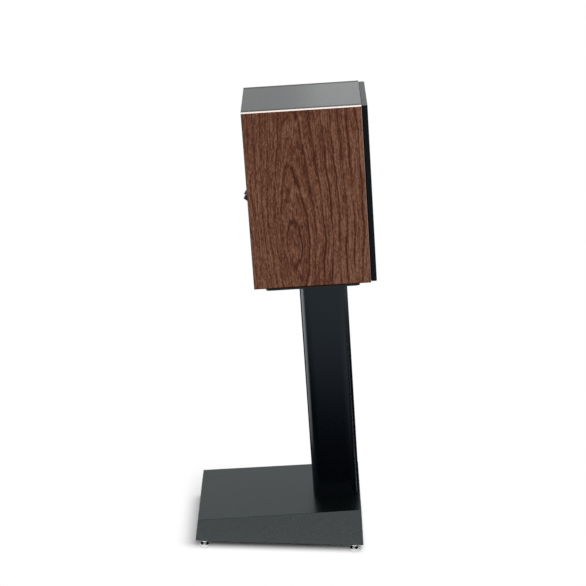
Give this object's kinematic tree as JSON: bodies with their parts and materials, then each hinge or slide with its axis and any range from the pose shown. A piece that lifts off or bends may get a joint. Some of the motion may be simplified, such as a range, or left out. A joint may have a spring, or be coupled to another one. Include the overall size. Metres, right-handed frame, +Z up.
{
  "type": "stand-mounted loudspeaker",
  "caption": "Two-way wooden loudspeaker on its own leaning floor stand, with moving cone and dome, clamping terminal knobs and screw-adjusted feet.",
  "frame": {"origin": "on the floor under the middle of the whole object's box", "axes": "+Z up; the front with the drivers looks towards -Y; X runs across"},
  "size_m": [0.27, 0.377, 1.0173],
  "materials": {
    "walnut_veneer": "satin lacquered veneer with vertical grain",
    "black_wrap": "fine-grained black wrap on board",
    "black_baffle": "satin black lacquer on board",
    "raw_board": "bare fibreboard",
    "felt": "grey damping felt",
    "cast_frame": "cast frame, dark coated",
    "black_plastic": "fine-textured black moulding",
    "rubber": "matt black rubber",
    "cone_fibre": "dark woven fibre cone",
    "spider_cloth": "resin-stiffened cloth",
    "copper": "enamelled copper wire",
    "motor_steel": "zinc-plated steel",
    "ferrite": "dark ferrite",
    "dome_metal": "satin light-metal dome",
    "gold_metal": "gold-plated brass",
    "knob_black": "clear-coated black grip",
    "knob_red": "red band on a black grip",
    "board_laminate": "green circuit board",
    "capacitor_film": "yellow film sleeve",
    "resistor_body": "white ceramic block",
    "black_steel": "satin black powder coat",
    "base_finish": "dark-grey satin textured lacquer on board",
    "black_fastener": "blackened steel",
    "plated_brass": "brass insert",
    "chrome": "bright chrome"
  },
  "bodies": {
    "enclosure_and_stand": {"side_panel_left": "walnut_veneer", "side_panel_right": "walnut_veneer", "top_panel": "black_wrap", "bottom_panel": "black_wrap", "back_panel": "black_wrap", "front_baffle": "black_baffle", "window_brace": "raw_board", "damping_pads": "felt", "woofer_basket": "cast_frame", "woofer_trim_ring": "black_plastic", "woofer_screws": "black_fastener", "woofer_surround": "rubber", "woofer_spider": "spider_cloth", "woofer_front_plate": "motor_steel", "woofer_magnet": "ferrite", "woofer_yoke": "motor_steel", "tweeter_faceplate": "black_plastic", "tweeter_screws": "black_fastener", "tweeter_surround": "rubber", "tweeter_pole_pieces": "motor_steel", "tweeter_magnet": "ferrite", "tweeter_rear_cup": "black_plastic", "port_tube": "black_plastic", "terminal_cup": "black_plastic", "terminal_screws": "black_fastener", "terminal_studs": "gold_metal", "terminal_nuts": "gold_metal", "crossover_standoffs": "black_plastic", "crossover_board": "board_laminate", "crossover_inductors": "copper", "crossover_capacitors": "capacitor_film", "crossover_resistors": "resistor_body", "stand_top_plate": "black_steel", "isolation_pads": "rubber", "cabinet_bolts": "black_fastener", "plate_screws": "black_fastener", "stand_column": "black_steel", "stand_base": "base_finish", "ballast_plate": "black_steel", "column_bolts": "black_fastener", "foot_lock_nuts": "black_fastener", "threaded_inserts": "plated_brass"},
    "woofer_cone": {"woofer_cone": "cone_fibre", "woofer_dust_cap": "cone_fibre", "woofer_voice_coil": "copper"},
    "tweeter_dome": {"tweeter_dome": "dome_metal", "tweeter_voice_coil": "copper"},
    "washer_negative": {"clamp_washer_negative": "gold_metal"},
    "knob_negative": {"terminal_knob_negative": "knob_black"},
    "washer_positive": {"clamp_washer_positive": "gold_metal"},
    "knob_positive": {"terminal_knob_positive": "knob_red"},
    "disc_front_left": {"foot_disc_front_left": "chrome"},
    "spike_front_left": {"foot_spike_front_left": "chrome"},
    "disc_rear_left": {"foot_disc_rear_left": "chrome"},
    "spike_rear_left": {"foot_spike_rear_left": "chrome"},
    "disc_front_right": {"foot_disc_front_right": "chrome"},
    "spike_front_right": {"foot_spike_front_right": "chrome"},
    "disc_rear_right": {"foot_disc_rear_right": "chrome"},
    "spike_rear_right": {"foot_spike_rear_right": "chrome"}
  },
  "joints": [
    {"name": "woofer_stroke", "type": "slide", "parent": "enclosure_and_stand", "child": "woofer_cone", "axis": [0, -0.9954, 0.0958], "range_m": [-0.004, 0.004], "stiffness_N_per_m": 900, "deforming": ["woofer_surround", "woofer_spider"]},
    {"name": "tweeter_stroke", "type": "slide", "parent": "enclosure_and_stand", "child": "tweeter_dome", "axis": [0, -0.9954, 0.0958], "range_m": [-0.0004, 0.0004], "stiffness_N_per_m": 2000, "deforming": ["tweeter_surround"]},
    {"name": "washer_negative_slide", "type": "slide", "parent": "enclosure_and_stand", "child": "washer_negative", "axis": [0, 0.8241, 0.5664], "range_m": [0, 0.004]},
    {"name": "knob_negative_turn", "type": "hinge", "parent": "washer_negative", "child": "knob_negative", "pos_m": [0.0165, 0.07595, 0.7731], "axis": [0, 0.8241, 0.5664], "range_deg": [0, 1440]},
    {"name": "washer_positive_slide", "type": "slide", "parent": "enclosure_and_stand", "child": "washer_positive", "axis": [0, 0.8241, 0.5664], "range_m": [0, 0.004]},
    {"name": "knob_positive_turn", "type": "hinge", "parent": "washer_positive", "child": "knob_positive", "pos_m": [-0.0165, 0.07595, 0.7731], "axis": [0, 0.8241, 0.5664], "range_deg": [0, 1440]},
    {"name": "foot_front_left_height", "type": "slide", "parent": "enclosure_and_stand", "child": "disc_front_left", "axis": [0, 0, -1], "range_m": [0, 0.008]},
    {"name": "foot_front_left_turn", "type": "hinge", "parent": "disc_front_left", "child": "spike_front_left", "pos_m": [-0.123, -0.16543, 0.01], "axis": [0, 0, -1], "range_deg": [0, 2304]},
    {"name": "foot_rear_left_height", "type": "slide", "parent": "enclosure_and_stand", "child": "disc_rear_left", "axis": [0, 0, -1], "range_m": [0, 0.008]},
    {"name": "foot_rear_left_turn", "type": "hinge", "parent": "disc_rear_left", "child": "spike_rear_left", "pos_m": [-0.123, 0.16857, 0.01], "axis": [0, 0, -1], "range_deg": [0, 2304]},
    {"name": "foot_front_right_height", "type": "slide", "parent": "enclosure_and_stand", "child": "disc_front_right", "axis": [0, 0, -1], "range_m": [0, 0.008]},
    {"name": "foot_front_right_turn", "type": "hinge", "parent": "disc_front_right", "child": "spike_front_right", "pos_m": [0.123, -0.16543, 0.01], "axis": [0, 0, -1], "range_deg": [0, 2304]},
    {"name": "foot_rear_right_height", "type": "slide", "parent": "enclosure_and_stand", "child": "disc_rear_right", "axis": [0, 0, -1], "range_m": [0, 0.008]},
    {"name": "foot_rear_right_turn", "type": "hinge", "parent": "disc_rear_right", "child": "spike_rear_right", "pos_m": [0.123, 0.16857, 0.01], "axis": [0, 0, -1], "range_deg": [0, 2304]}
  ],
  "couplings": [
    {"joint": "knob_negative_turn", "follows": "washer_negative_slide", "rad_per_m": 6283.2},
    {"joint": "knob_positive_turn", "follows": "washer_positive_slide", "rad_per_m": 6283.2},
    {"joint": "foot_front_left_turn", "follows": "foot_front_left_height", "rad_per_m": 5026.5},
    {"joint": "foot_rear_left_turn", "follows": "foot_rear_left_height", "rad_per_m": 5026.5},
    {"joint": "foot_front_right_turn", "follows": "foot_front_right_height", "rad_per_m": 5026.5},
    {"joint": "foot_rear_right_turn", "follows": "foot_rear_right_height", "rad_per_m": 5026.5}
  ]
}
